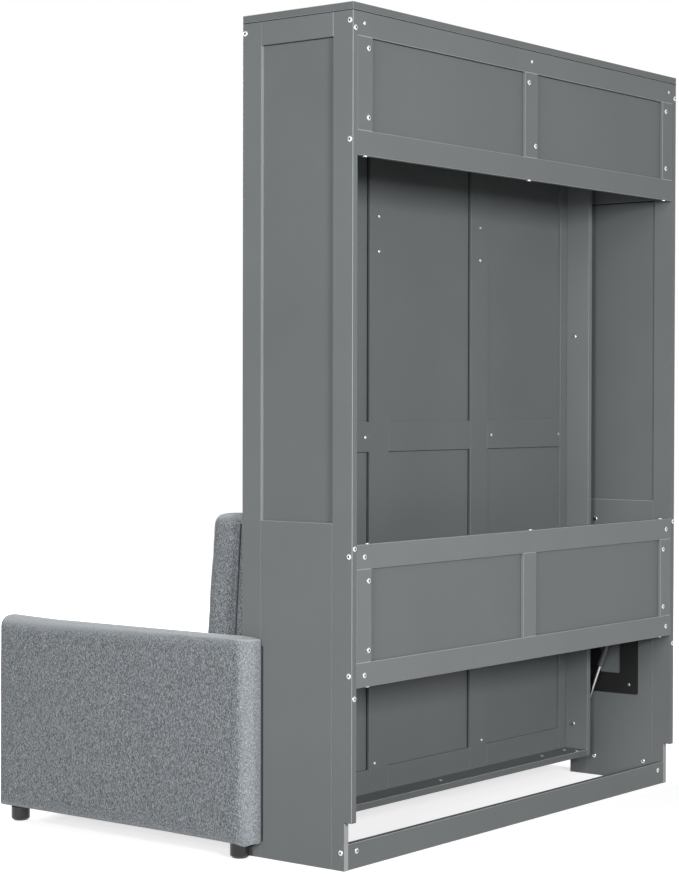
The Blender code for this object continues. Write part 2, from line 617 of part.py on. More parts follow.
def bed_legs():
    """Two legs and the bar that joins them; each hangs on a pin between a bracket's ears."""
    ear_gap = LEG_WIDTH / 2 + SIDE_PLAY
    ear = ear_gap + STEEL
    wing = ear + LEG_BRACKET_WING
    base_rear = FRONT - GAP
    base_front = base_rear - STEEL
    ear_front = LEG_AXIS.y - LEG_DEPTH / 2
    half_height = LEG_BRACKET_HEIGHT / 2
    for word, side in SIDES.items():
        x = side * LEG_FROM_CENTRE
        outline = [
            (x - wing, base_rear), (x - wing, base_front), (x - ear, base_front), (x - ear, ear_front),
            (x - ear_gap, ear_front), (x - ear_gap, base_front), (x + ear_gap, base_front),
            (x + ear_gap, ear_front), (x + ear, ear_front), (x + ear, base_front),
            (x + wing, base_front), (x + wing, base_rear)]
        channel = extruded(word, outline, LEG_AXIS.z - half_height, LEG_AXIS.z + half_height, "z")
        bracket = link(f"leg_bracket_{word}", mesh_from(channel, word), BLACK_STEEL, BED, Vector())
        pin = turned([(LEG_PIN_RADIUS, -ear + STEEL / 2), (LEG_PIN_RADIUS, ear - STEEL / 2)],
                     SMALL_SEGMENTS, "x")
        combine(bracket, guide(f"leg_pin_{word}", mesh_from(pin, "pin"), BED,
                               LEG_AXIS + Vector((x, 0, 0))), "UNION")

        half = LEG_DEPTH / 2
        outline = [(-half, -LEG_LENGTH), (half, -LEG_LENGTH)]
        arc_steps = SMALL_SEGMENTS // 2
        outline += [(half * math.cos(math.pi * step / arc_steps),
                     half * math.sin(math.pi * step / arc_steps)) for step in range(arc_steps + 1)]
        bar = extruded(word, outline, -LEG_WIDTH / 2, LEG_WIDTH / 2)
        leg = link(f"bed_leg_{word}", mesh_from(bar, word), BLACK_STEEL, LEGS,
                   LEG_AXIS + Vector((x, 0, 0)))
        bore = turned([(LEG_PIN_RADIUS + RUNNING_GAP, -LEG_WIDTH), (LEG_PIN_RADIUS + RUNNING_GAP,
                      LEG_WIDTH)], SMALL_SEGMENTS, "x")
        combine(leg, guide(f"leg_bore_{word}", mesh_from(bore, "bore"), LEGS,
                           LEG_AXIS + Vector((x, 0, 0))))
    half = LEG_FROM_CENTRE - LEG_WIDTH / 2 - GAP
    bar = turned([(LEG_BAR_RADIUS, -half), (LEG_BAR_RADIUS, half)], SMALL_SEGMENTS, "x")
    link("leg_bar", mesh_from(bar, "bar", smooth=True), BLACK_STEEL, LEGS,
         LEG_AXIS - Vector((0, 0, LEG_BAR_DROP)))


def sofa_arm(word, side):
    """An upholstered arm panel bolted to the cabinet's front stile, on two round feet."""
    size = (ARM_THICKNESS, ARM_FRONT + ARM_REAR, ARM_TOP - ARM_BOTTOM)
    centre = (side * (ARM_INNER + ARM_THICKNESS / 2), (ARM_REAR - ARM_FRONT) / 2,
              (ARM_BOTTOM + ARM_TOP) / 2)
    pad = padded(f"sofa_arm_{word}", size, ARM_EDGE_RADIUS, (1, 9, 6), (2, 1, 0.0), 0.0)
    link(f"sofa_arm_{word}", pad, GREY_FABRIC, ROOT, centre)
    for end, y in (("front", -ARM_FRONT + FOOT_INSET), ("rear", ARM_REAR - FOOT_INSET)):
        foot = turned([
            (FOOT_RADIUS - FOOT_CHAMFER, 0), (FOOT_RADIUS, FOOT_CHAMFER),
            (FOOT_RADIUS, ARM_BOTTOM - GAP)], ROUND_SEGMENTS, "z")
        link(f"arm_foot_{end}_{word}", mesh_from(foot, "foot", smooth=True), BLACK_PLASTIC, ROOT,
             (centre[0], y, 0))


def seat_bench():
    """The seat, which draws out between the arms: a padded base, two runners, two cushions."""
    depth = BENCH_REAR - BENCH_FRONT
    middle = (BENCH_REAR + BENCH_FRONT) / 2
    base = padded("bench_base", (2 * BENCH_HALF, depth, BENCH_BASE_TOP - ARM_BOTTOM),
                  BENCH_EDGE_RADIUS, (8, 4, 2), (2, 1, 0.0), 0.0)
    link("bench_base", base, GREY_FABRIC, BENCH, (0, middle, (BENCH_BASE_TOP + ARM_BOTTOM) / 2))
    for word, side in SIDES.items():
        x = side * RUNNER_FROM_CENTRE
        board(f"bench_runner_{word}",
              (x - RUNNER_WIDTH / 2, BENCH_FRONT + RUNNER_INSET, 0),
              (x + RUNNER_WIDTH / 2, BENCH_REAR - RUNNER_INSET, ARM_BOTTOM - GAP),
              BLACK_PLASTIC, BENCH)
        width = BENCH_HALF - CUSHION_GAP / 2
        height = SEAT_TOP - BENCH_BASE_TOP - GAP
        cushion = padded(f"seat_cushion_{word}", (width, depth, height), SEAT_EDGE_RADIUS,
                         (7, 6, 2), (2, 1, SEAT_CROWN), SEAT_DRAW)
        link(f"seat_cushion_{word}", cushion, GREY_FABRIC, BENCH,
             (side * (CUSHION_GAP / 2 + width / 2), middle, SEAT_TOP - height / 2))


def backrest():
    """A wedge board on the bed's front and two leaning cushions, which go down with the bed."""
    bottom, top = BACKREST_BOTTOM, BACKREST_TOP - BACK_BOARD_DROP
    rear = FRONT - GAP
    half = BACKREST_HALF
    outline = [(rear, bottom), (rear, top), (rear - BACK_BOARD_TOP, top),
               (rear - BACK_BOARD_BOTTOM, bottom)]
    wedge = extruded("backrest_board", outline, -half, half)
    link("backrest_board", mesh_from(wedge, "backrest_board"), GREY_FABRIC, BED, Vector())
    height = BACKREST_TOP - BACKREST_BOTTOM
    slope = (BACK_BOARD_BOTTOM - BACK_BOARD_TOP) / (top - bottom)
    lean = slope * height / 2
    middle_board = (rear - BACK_BOARD_BOTTOM) + lean
    width = half - CUSHION_GAP / 2
    for word, side in SIDES.items():
        cushion = padded(f"back_cushion_{word}", (width, BACK_CUSHION, height),
                         BACK_CUSHION_EDGE_RADIUS, (7, 1, 6), (1, -1, BACK_CUSHION_CROWN),
                         BACK_CUSHION_DRAW, lean)
        link(f"back_cushion_{word}", cushion, GREY_FABRIC, BED,
             (side * (CUSHION_GAP / 2 + width / 2), middle_board - GAP - BACK_CUSHION / 2,
              (BACKREST_BOTTOM + BACKREST_TOP) / 2))


for word, side in SIDES.items():
    cabinet_side(word, side)
    lift_plate(word, side)
    pivot_pin(word, side)
    bed_bracket(word, side)
    gas_strut(word, side)
    sofa_arm(word, side)
carcass()
deck()
bed_box()
bed_legs()
seat_bench()
backrest()
bpy.context.view_layer.update()
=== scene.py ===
import math

import bmesh
import bpy
from mathutils import Matrix, Vector


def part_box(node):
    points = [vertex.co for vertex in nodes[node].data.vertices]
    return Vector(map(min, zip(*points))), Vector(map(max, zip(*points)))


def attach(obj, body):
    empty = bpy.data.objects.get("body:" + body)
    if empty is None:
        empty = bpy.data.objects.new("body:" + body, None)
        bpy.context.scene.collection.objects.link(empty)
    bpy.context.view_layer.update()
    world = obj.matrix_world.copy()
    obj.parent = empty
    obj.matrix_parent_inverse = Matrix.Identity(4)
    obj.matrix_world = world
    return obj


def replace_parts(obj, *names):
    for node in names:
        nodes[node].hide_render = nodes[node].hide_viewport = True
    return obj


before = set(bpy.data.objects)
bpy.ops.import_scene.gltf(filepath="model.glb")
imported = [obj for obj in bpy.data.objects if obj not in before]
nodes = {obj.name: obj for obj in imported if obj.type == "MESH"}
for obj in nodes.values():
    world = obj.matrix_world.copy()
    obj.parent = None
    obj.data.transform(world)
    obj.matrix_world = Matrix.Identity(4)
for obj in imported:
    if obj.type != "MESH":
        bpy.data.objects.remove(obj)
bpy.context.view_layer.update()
Y_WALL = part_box("top_board")[1].y


# The studio: a plain white floor under a dim even sky, with one soft box for the cabinet's side,
# one for its back, and a third for the front. The lens is a short telephoto at chest height,
# which looks at the cabinet's back and its right side.
CAMERA_PLACE = (4.8776, Y_WALL + 3.1557, 1.1352)
CAMERA_HEADING, CAMERA_PITCH, CAMERA_ROLL = 127.941, -0.998, 0.116
camera_data = bpy.data.cameras.new("camera")
camera_data.lens = 89.25
camera_data.sensor_width = 36
camera_data.clip_end = 60
camera = bpy.data.objects.new("camera", camera_data)
bpy.context.scene.collection.objects.link(camera)
camera.matrix_world = (
    Matrix.Translation(CAMERA_PLACE)
    @ Matrix.Rotation(math.radians(CAMERA_HEADING), 4, "Z")
    @ Matrix.Rotation(math.radians(90 + CAMERA_PITCH), 4, "X")
    @ Matrix.Rotation(math.radians(CAMERA_ROLL), 4, "Z"))
bpy.context.scene.camera = camera
bpy.context.scene.view_settings.view_transform = "Standard"


def srgb(hex_colour):
    """Linear red, green, blue and alpha of an sRGB hex colour."""
    parts = [int(hex_colour[at:at + 2], 16) / 255 for at in (1, 3, 5)]
    return [p / 12.92 if p <= 0.04045 else ((p + 0.055) / 1.055) ** 2.4 for p in parts] + [1.0]


def add_node(tree, kind, settings=None, links=None):
    """Adds a shader node. Settings are its own properties or its sockets' values, and links are
    what its sockets take, both by name, or by number where two sockets share a name."""
    node = tree.nodes.new(kind)
    for name, value in (settings or {}).items():
        if isinstance(name, int) or name in node.inputs.keys():
            node.inputs[name].default_value = value
        else:
            setattr(node, name, value)
    for name, source in (links or {}).items():
        tree.links.new(source, node.inputs[name])
    return node


def seen_white(tree, lit, white):
    """Gives the camera, mirrors and glass the white shader, and every other ray the lit one."""
    rays = add_node(tree, "ShaderNodeLightPath").outputs
    seen = add_node(tree, "ShaderNodeMath", {"operation": "MAXIMUM"},
                    {0: rays["Is Camera Ray"], 1: rays["Is Glossy Ray"]})
    also = add_node(tree, "ShaderNodeMath", {"operation": "MAXIMUM"},
                    {0: seen.outputs[0], 1: rays["Is Transmission Ray"]})
    mixed = add_node(tree, "ShaderNodeMixShader", None,
                     {0: also.outputs[0], 1: lit.outputs[0], 2: white.outputs[0]})
    return mixed.outputs[0]


world = bpy.data.worlds.new("studio")
bpy.context.scene.world = world
world.use_nodes = True
tree = world.node_tree
tree.nodes.clear()
ambient = add_node(tree, "ShaderNodeBackground", {"Color": srgb("#ffffff"), "Strength": 0.06})
white = add_node(tree, "ShaderNodeBackground", {"Color": srgb("#ffffff"), "Strength": 1.0})
add_node(tree, "ShaderNodeOutputWorld", None, {"Surface": seen_white(tree, ambient, white)})

FLOOR_HALF = 14
floor_mesh = bpy.data.meshes.new("studio_floor")
bm = bmesh.new()
bmesh.ops.create_grid(bm, x_segments=1, y_segments=1, size=FLOOR_HALF)
bm.to_mesh(floor_mesh)
bm.free()
floor = bpy.data.objects.new("studio_floor", floor_mesh)
bpy.context.scene.collection.objects.link(floor)

# Matt white paper: it shows the object's shadow and fades to plain white away from it. It sends
# back less light than it shows, so the undersides of the boards stay dark.
paper = bpy.data.materials.new("white_paper_floor")
paper.use_nodes = True
tree = paper.node_tree
tree.nodes.clear()
matt = add_node(tree, "ShaderNodeBsdfDiffuse", {"Color": srgb("#dadada")})
away = add_node(tree, "ShaderNodeVectorMath", {"operation": "LENGTH"},
                {"Vector": add_node(tree, "ShaderNodeTexCoord").outputs["Object"]})
fade = add_node(tree, "ShaderNodeMapRange", {"From Min": 1.6, "From Max": 4.5, "To Min": 0.70,
                "To Max": 1.0}, {"Value": away.outputs["Value"]})
glow = add_node(tree, "ShaderNodeEmission", {"Color": srgb("#ffffff")},
                {"Strength": fade.outputs["Result"]})
lifted = add_node(tree, "ShaderNodeAddShader", None, {0: matt.outputs[0], 1: glow.outputs[0]})
dull = add_node(tree, "ShaderNodeBsdfDiffuse", {"Color": srgb("#8c8c8c")})
add_node(tree, "ShaderNodeOutputMaterial", None, {"Surface": seen_white(tree, dull, lifted)})
floor_mesh.materials.append(paper)


def soft_lamp(name, place, aim, size, power):
    """A square soft box that faces a point."""
    lamp_data = bpy.data.lights.new(name, "AREA")
    lamp_data.size = size
    lamp_data.energy = power
    lamp = bpy.data.objects.new(name, lamp_data)
    bpy.context.scene.collection.objects.link(lamp)
    lamp.location = place
    lamp.rotation_euler = (Vector(aim) - Vector(place)).to_track_quat("-Z", "Y").to_euler()


soft_lamp("side_lamp", (8.4, 2.6, 2.4), (0, 0.3, 0.9), 2.8, 430)
soft_lamp("back_lamp", (3.0, 6.3, 2.3), (0, 0.3, 0.9), 1.5, 324)
soft_lamp("front_lamp", (-1.5, -5.5, 3.6), (0, -0.2, 0.8), 3.0, 435)


# Cabinet boards: 18 mm fibreboard in frames round thin panels, sprayed with a satin grey lacquer.
# It leaves a fine orange peel and slight clouds in the tone. The broken arrises get a painted
# highlight, which shows as pale hairlines. Some boards get a paler tone and some panels a darker one.
LACQUER_PALE, LACQUER_DARK, ARRIS_HIGHLIGHT = "#777b7c", "#6c7071", "#b4b7b8"
PEEL_GRAIN_MM = 2.4


def lacquer(name, pale, dark, arris, roughness=0.45, upright=0.2):
    """Satin lacquer: low clouds in the colour and the sheen, orange peel in the bump, and a painted
    highlight on the arrises. An upright arris gets only the share upright of the highlight."""
    made = bpy.data.materials.new(name)
    made.use_nodes = True
    tree = made.node_tree
    shader = tree.nodes["Principled BSDF"]
    shader.inputs["IOR"].default_value = 1.5
    shader.inputs["Specular IOR Level"].default_value = 0.18
    coordinates = add_node(tree, "ShaderNodeTexCoord").outputs
    clouds = add_node(tree, "ShaderNodeTexNoise", {"Scale": 3.5, "Detail": 3.0, "Roughness": 0.55},
                      {"Vector": coordinates["Object"]}).outputs["Fac"]
    tone = add_node(tree, "ShaderNodeMix", {"data_type": "RGBA", 6: srgb(dark), 7: srgb(pale)},
                    {"Factor": clouds})

    # Painted highlight on the arrises: an arris faces none of the three axes, so its largest part of
    # the normal is the smallest. One that faces up or down gets the full highlight.
    facing = add_node(tree, "ShaderNodeVectorMath", {"operation": "ABSOLUTE"},
                      {"Vector": coordinates["Normal"]})
    parts = add_node(tree, "ShaderNodeSeparateXYZ", None, {"Vector": facing.outputs[0]}).outputs
    level = add_node(tree, "ShaderNodeMath", {"operation": "MAXIMUM"},
                     {0: parts["X"], 1: parts["Y"]})
    flat = add_node(tree, "ShaderNodeMath", {"operation": "MAXIMUM"},
                    {0: level.outputs[0], 1: parts["Z"]})
    thin = add_node(tree, "ShaderNodeMapRange", {"From Min": 0.75, "From Max": 0.95, "To Min": 1.0,
                    "To Max": 0.0}, {"Value": flat.outputs[0]})
    lying = add_node(tree, "ShaderNodeMapRange", {"From Min": 0.2, "From Max": 0.5,
                     "To Min": upright, "To Max": 1.0}, {"Value": parts["Z"]})
    arris_highlight_share = add_node(tree, "ShaderNodeMath", {"operation": "MULTIPLY"},
                    {0: thin.outputs["Result"], 1: lying.outputs["Result"]})
    coat = add_node(tree, "ShaderNodeMix", {"data_type": "RGBA", 7: srgb(arris)},
                    {"Factor": arris_highlight_share.outputs[0], 6: tone.outputs[2]})
    tree.links.new(coat.outputs[2], shader.inputs["Base Color"])

    sheen = add_node(tree, "ShaderNodeMapRange", {"To Min": roughness - 0.05,
                     "To Max": roughness + 0.05}, {"Value": clouds})
    tree.links.new(sheen.outputs["Result"], shader.inputs["Roughness"])
    peel = add_node(tree, "ShaderNodeTexNoise", {"Scale": 1000 / PEEL_GRAIN_MM, "Detail": 2.0},
                    {"Vector": coordinates["Object"]})
    bump = add_node(tree, "ShaderNodeBump", {"Strength": 0.08, "Distance": 0.0004},
                    {"Height": peel.outputs["Fac"]})
    tree.links.new(bump.outputs["Normal"], shader.inputs["Normal"])
    return made


def finish(names, made):
    """Gives CAD nodes a better material in place of the plain one."""
    for name in names:
        nodes[name].data.materials.clear()
        nodes[name].data.materials.append(made)


grey_lacquer = lacquer("satin_grey_lacquer", LACQUER_PALE, LACQUER_DARK, ARRIS_HIGHLIGHT)
pale_lacquer = lacquer("satin_grey_lacquer_paler", "#828687", "#777b7c", ARRIS_HIGHLIGHT)
dark_lacquer = lacquer("satin_grey_lacquer_darker", "#717576", "#676b6c", ARRIS_HIGHLIGHT)
finish([name for name in nodes if name != "backrest_board" and any(
    word in name for word in ("stile", "rail", "board", "panel", "header"))], grey_lacquer)
finish(["upper_back_panel_left", "upper_back_panel_right", "top_board", "side_panel_left",
        "side_panel_right"], dark_lacquer)


def new_piece(bm, name, finishes, body, smooth_angle=None):
    """Turns a bmesh into a piece that rides on a body."""
    mesh = bpy.data.meshes.new(name)
    bm.to_mesh(mesh)
    bm.free()
    piece = bpy.data.objects.new(name, mesh)
    bpy.context.scene.collection.objects.link(piece)
    for made in finishes:
        mesh.materials.append(made)
    if smooth_angle:
        mesh.shade_smooth()
        mesh.set_sharp_from_angle(angle=math.radians(smooth_angle))
    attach(piece, body)
    return piece


def add_block(bm, low, high, ease=0.0, finish_number=0):
    """A block between two corners; ease is how wide its arrises are broken."""
    low, high = Vector(low), Vector(high)
    older = set(bm.faces)
    made = bmesh.ops.create_cube(bm, size=1)["verts"]
    bmesh.ops.scale(bm, vec=high - low, verts=made)
    bmesh.ops.translate(bm, vec=(low + high) / 2, verts=made)
    if ease:
        bmesh.ops.bevel(bm, geom=list({edge for vert in made for edge in vert.link_edges}),
                        offset=ease, segments=1, profile=0.5, affect="EDGES", material=-1)
    for face in set(bm.faces) - older:
        face.material_index = finish_number


# Frames of the back and of the bed's deck: rails and stiles are separate boards, glued edge to
# edge, so a fine V groove shows at each joint. The back's rails and the deck's stiles run through.
# Round each thin panel, dark strips are painted shade along the sides and top of its window.
ARRIS = 0.001
PANEL_TONGUE = 0.008
BACK_SHADE_WIDTH, DECK_SHADE_WIDTH, TOP_SHADE_WIDTH = 0.0006, 0.0016, 0.0013
BACK_LINE, DECK_LINE = 0.0005, 0.002
LINE_DEPTH = 0.0003
# Deck frame: a faint painted highlight on the stiles' arrises and a stronger one on the rails'.
plain_lacquer = lacquer("satin_grey_lacquer_faint_arris_highlight", LACQUER_PALE, LACQUER_DARK, "#7c8081")
rail_lacquer = lacquer("satin_grey_lacquer_arris_highlight", LACQUER_PALE, LACQUER_DARK, "#868a8b")
painted_gap_shade = lacquer("painted_groove_shade", "#2c2f30", "#262829", "#2c2f30", 0.8)


def framed(node, panels, body, stiles_run_through, finishes, side_shade_width):
    """Draws a frame board by board, round the windows that its thin panels close; the
    finishes are the stiles' and the rails'."""
    low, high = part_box(node)
    boxes = [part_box(panel) for panel in panels]
    x_cuts = sorted({round(place, 4) for lower, upper in boxes
                     for place in (lower.x + PANEL_TONGUE, upper.x - PANEL_TONGUE)})
    z_cuts = sorted({round(place, 4) for lower, upper in boxes
                     for place in (lower.z + PANEL_TONGUE, upper.z - PANEL_TONGUE)})
    x_ends, z_ends = [low.x, *x_cuts, high.x], [low.z, *z_cuts, high.z]
    stiles = list(zip(x_ends[::2], x_ends[1::2]))
    rails = list(zip(z_ends[::2], z_ends[1::2]))
    columns = list(zip(x_ends[1::2], x_ends[2::2]))
    rows = list(zip(z_ends[1::2], z_ends[2::2]))
    bm = bmesh.new()
    if stiles_run_through:
        line = DECK_LINE
        spans = [(stile, (low.z, high.z), 0) for stile in stiles]
        spans += [(column, rail, 1) for column in columns for rail in rails]
    else:
        line = BACK_LINE
        spans = [((low.x - ARRIS, high.x + ARRIS), rail, 1) for rail in rails]
        spans += [(stile, row, 0) for stile in stiles for row in rows]
    for across, up, number in spans:
        add_block(bm, (across[0], low.y, up[0]), (across[1], high.y, up[1]), ARRIS, number)
    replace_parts(new_piece(bm, f"{node}_boards", finishes, body), node)
    # Painted shade: dark strips on the panel along each window's sides and top, and on the stiles'
    # sides next to it.
    bm = bmesh.new()
    face = boxes[0][1].y
    for left, right in columns:
        for bottom, top in rows:
            strips = ((left, left + side_shade_width, bottom, LINE_DEPTH),
                      (right - side_shade_width, right, bottom, LINE_DEPTH),
                      (left, left + LINE_DEPTH, bottom, line),
                      (right - LINE_DEPTH, right, bottom, line),
                      (left + side_shade_width, right - side_shade_width, top - TOP_SHADE_WIDTH, LINE_DEPTH))
            for start, end, lowest, depth in strips:
                if stiles_run_through and (start == x_cuts[0] or end == x_cuts[-1]):
                    continue
                add_block(bm, (start, face, lowest), (end, face + depth, top))
    new_piece(bm, f"{node}_painted_panel_shade", [painted_gap_shade], body)


for level, made in (("upper", grey_lacquer), ("mid", pale_lacquer)):
    framed(f"{level}_back_frame", [f"{level}_back_panel_{word}" for word in ("left", "right")],
           "cabinet", False, [made, made], BACK_SHADE_WIDTH)
framed("deck_frame", [f"deck_panel_{row}_{word}" for row in ("lower", "upper")
                      for word in ("left", "centre", "right")], "bed", True,
       [plain_lacquer, rail_lacquer], DECK_SHADE_WIDTH)


# Rear stiles and top rails of the sides, and the bed's side rails: solid boards with the same
# broken arrises, which get a painted highlight as hairlines. The arrises that meet another board stay
# sharp.
TOUCH = 0.00005


def eased_board(node, sharp_side, made, body):
    """A board's own shape, with its outermost arrises broken except on one side in x."""
    low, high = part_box(node)
    bm = bmesh.new()
    bm.from_mesh(nodes[node].data)
    bmesh.ops.remove_doubles(bm, verts=bm.verts[:], dist=0.00001)
    bmesh.ops.dissolve_limit(bm, angle_limit=math.radians(1), verts=bm.verts[:], edges=bm.edges[:])
    outermost = []
    for edge in bm.edges:
        limits = sum(all(abs(vert.co[axis] - limit) < TOUCH for vert in edge.verts)
                     for axis in range(3) for limit in (low[axis], high[axis]))
        hidden = (high if sharp_side > 0 else low).x
        if limits == 2 and any(abs(vert.co.x - hidden) > TOUCH for vert in edge.verts):
            outermost.append(edge)
    bmesh.ops.bevel(bm, geom=outermost, offset=ARRIS, segments=1, profile=0.5, affect="EDGES",
                    material=-1)
    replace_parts(new_piece(bm, f"{node}_eased", [made], body), node)


# Painted highlight on the sides' rear stiles and top rails, which upright arrises get more of here.
corner_lacquer = lacquer("satin_grey_lacquer_corner_highlight", LACQUER_PALE, LACQUER_DARK,
                         ARRIS_HIGHLIGHT, upright=0.6)
for word, side in (("left", -1), ("right", 1)):
    eased_board(f"rear_stile_{word}", -side, corner_lacquer, "cabinet")
    eased_board(f"side_top_rail_{word}", -side, corner_lacquer, "cabinet")
    eased_board(f"bed_side_rail_{word}", side, pale_lacquer, "bed")


# Joints of the sides: a pale band runs up each stile's inner edge round the panel. Dark strips of
# painted shade run round the panel, under the top board and under the inner top rail, and a
# painted highlight makes a pale lip on that rail's arris above its strip.
STRIP_THICK = 0.0002
REAR_SHADE_WIDTH, LID_SHADE_WIDTH = 0.0018, 0.0022
LINE_TOP, LIP_TOP = 0.0042, 0.0058
LINE_IN, LINE_OUT = 0.0009, 0.0001


def side_block(bm, side, across, along, up):
    """A block on the left (-1) or right (1) side, from its spans in x, y and z."""
    x_ends, y_ends = sorted(side * x for x in across), sorted(along)
    add_block(bm, (x_ends[0], y_ends[0], up[0]), (x_ends[1], y_ends[1], up[1]))


edge_lacquer = lacquer("pale_edge_band_and_lip_highlight", "#979b9c", "#898d8e", "#9ea2a3", 0.4)
low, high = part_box("side_panel_right")
stile_edges = ((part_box("front_stile_right")[1].y, STRIP_THICK), (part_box("rear_stile_right")[0].y, -STRIP_THICK))
outer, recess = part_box("front_stile_right")[1].x - ARRIS, high.x
front, rear = low.y + PANEL_TONGUE, high.y - PANEL_TONGUE
bottom, top = low.z + PANEL_TONGUE, high.z - PANEL_TONGUE
rail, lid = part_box("side_top_rail_right")[0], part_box("top_board")[0]
bm = bmesh.new()
shade_lines = bmesh.new()
for side in (-1, 1):
    for face, mist in stile_edges:
        side_block(bm, side, (outer, recess), (face, face + mist), (bottom, top))
    # Painted highlight: the pale lip on the inner top rail's lower arris.
    side_block(bm, side, (rail.x - LINE_DEPTH, rail.x), (front, rear),
               (rail.z + LINE_TOP, rail.z + LIP_TOP))
    # Painted shade: dark strips under the inner top rail, under the panel's top, along its rear edge
    # and under the top board.
    side_block(shade_lines, side, (rail.x - LINE_DEPTH, rail.x), (front, rear),
               (rail.z, rail.z + LINE_TOP))
    side_block(shade_lines, side, (recess, recess + LINE_DEPTH), (front, rear), (top - TOP_SHADE_WIDTH, top))
    side_block(shade_lines, side, (low.x - LINE_DEPTH, low.x), (rear - REAR_SHADE_WIDTH, rear), (bottom, top))
    side_block(shade_lines, side, (outer + ARRIS - LINE_IN, outer + ARRIS + LINE_OUT),
               (lid.y + ARRIS, Y_WALL), (lid.z - LID_SHADE_WIDTH, lid.z))
add_block(shade_lines, (-outer, Y_WALL - LINE_IN, lid.z - LID_SHADE_WIDTH), (outer, Y_WALL + LINE_OUT, lid.z))
new_piece(bm, "recess_edges_and_lip_highlight", [edge_lacquer], "cabinet")
new_piece(shade_lines, "painted_joint_shade", [painted_gap_shade], "cabinet")


# Raw edges: below the baseboard notch the sides' rear edges are cut bare, and the pale
# fibreboard shows through a thin coat.
NOTCH_BAND = (0.0008, 0.1172)
raw_board = lacquer("bare_fibreboard_edge", "#b2b4b2", "#a3a5a4", "#b2b4b2", 0.7)
bm = bmesh.new()
for side in (-1, 1):
    low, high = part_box("rear_stile_right")
    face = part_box("base_rail")[1].y
    side_block(bm, side, (low.x + ARRIS, high.x - ARRIS), (face, face + 2 * STRIP_THICK), NOTCH_BAND)
new_piece(bm, "bare_notch_edges", [raw_board], "cabinet")


# Fasteners: nickel-plated furniture bolts with flat round heads and hexagon sockets join the
# boards, and smaller cross-head screws hold the deck and the rails. Each sits on its board.
BOLT_RADIUS, BOLT_HEIGHT = 0.0068, 0.0026
SCREW_RADIUS, SCREW_HEIGHT = 0.0045, 0.0018
SMOOTH_BELOW = 40


def head_mesh(name, radius, height, corners, socket):
    """A domed round head with a socket, standing on z = 0."""
    bm = bmesh.new()
    ring = bmesh.ops.create_circle(bm, radius=radius, segments=corners)["verts"]
    edges = list({edge for vert in ring for edge in vert.link_edges})
    for share, rise in ((1.0, 0.55), (0.84, 0.9), (0.6, 1.0), (socket, 1.0), (socket, 0.25)):
        if rise < 0.5:
            domed = set(bm.faces)
        top = bmesh.ops.extrude_edge_only(bm, edges=edges)["geom"]
        ring = [part for part in top if isinstance(part, bmesh.types.BMVert)]
        edges = [part for part in top if isinstance(part, bmesh.types.BMEdge)]
        now = ring[0].co.xy.length
        bmesh.ops.scale(bm, vec=(share * radius / now, share * radius / now, 1), verts=ring)
        bmesh.ops.translate(bm, vec=(0, 0, rise * height - ring[0].co.z), verts=ring)
    bmesh.ops.contextual_create(bm, geom=edges)
    for face in set(bm.faces) - domed:
        face.material_index = 1
    bmesh.ops.recalc_face_normals(bm, faces=bm.faces[:])
    mesh = bpy.data.meshes.new(name)
    bm.to_mesh(mesh)
    bm.free()
    return mesh


def set_heads(bm, mesh, places, out):
    """Sets a head at each place, with its dome towards out."""
    turn = Vector((0, 0, 1)).rotation_difference(Vector(out)).to_matrix().to_4x4()
    for place in places:
        old = len(bm.verts)
        bm.from_mesh(mesh)
        bm.verts.ensure_lookup_table()
        bmesh.ops.transform(bm, matrix=Matrix.Translation(place) @ turn, verts=bm.verts[old:])


def bright_metal(name, colour, scuff_mm, smooth, rough):
    """Polished metal, which mirrors its surroundings; fine scuffs change its gloss only."""
    made = bpy.data.materials.new(name)
    made.use_nodes = True
    tree = made.node_tree
    shader = tree.nodes["Principled BSDF"]
    shader.inputs["Metallic"].default_value = 1.0
    shader.inputs["Base Color"].default_value = srgb(colour)
    scuffs = add_node(tree, "ShaderNodeTexNoise", {"Scale": 1000 / scuff_mm, "Detail": 2.0},
                      {"Vector": add_node(tree, "ShaderNodeTexCoord").outputs["Object"]})
    gloss = add_node(tree, "ShaderNodeMapRange", {"To Min": smooth, "To Max": rough},
                     {"Value": scuffs.outputs["Fac"]})
    tree.links.new(gloss.outputs["Result"], shader.inputs["Roughness"])
    return made


nickel = bright_metal("nickel_plated_steel", "#e2e3e4", 1.11, 0.22, 0.38)

# Painted shade in the heads' sockets, a little mottled: a dark dot in each bright head.
MOTTLE_MM = 0.667
socket_shade = bpy.data.materials.new("painted_socket_shade")
socket_shade.use_nodes = True
tree = socket_shade.node_tree
shader = tree.nodes["Principled BSDF"]
shader.inputs["Roughness"].default_value = 0.6
shade_mottle = add_node(tree, "ShaderNodeTexNoise", {"Scale": 1000 / MOTTLE_MM},
                 {"Vector": add_node(tree, "ShaderNodeTexCoord").outputs["Object"]})
tone = add_node(tree, "ShaderNodeMix", {"data_type": "RGBA", 6: srgb("#26282a"),
                7: srgb("#3c3e40")}, {"Factor": shade_mottle.outputs["Fac"]})
tree.links.new(tone.outputs[2], shader.inputs["Base Color"])
fastener = [nickel, socket_shade]

bolt = head_mesh("bolt_head", BOLT_RADIUS, BOLT_HEIGHT, 12, 0.4)
screw = head_mesh("screw_head", SCREW_RADIUS, SCREW_HEIGHT, 10, 0.2)

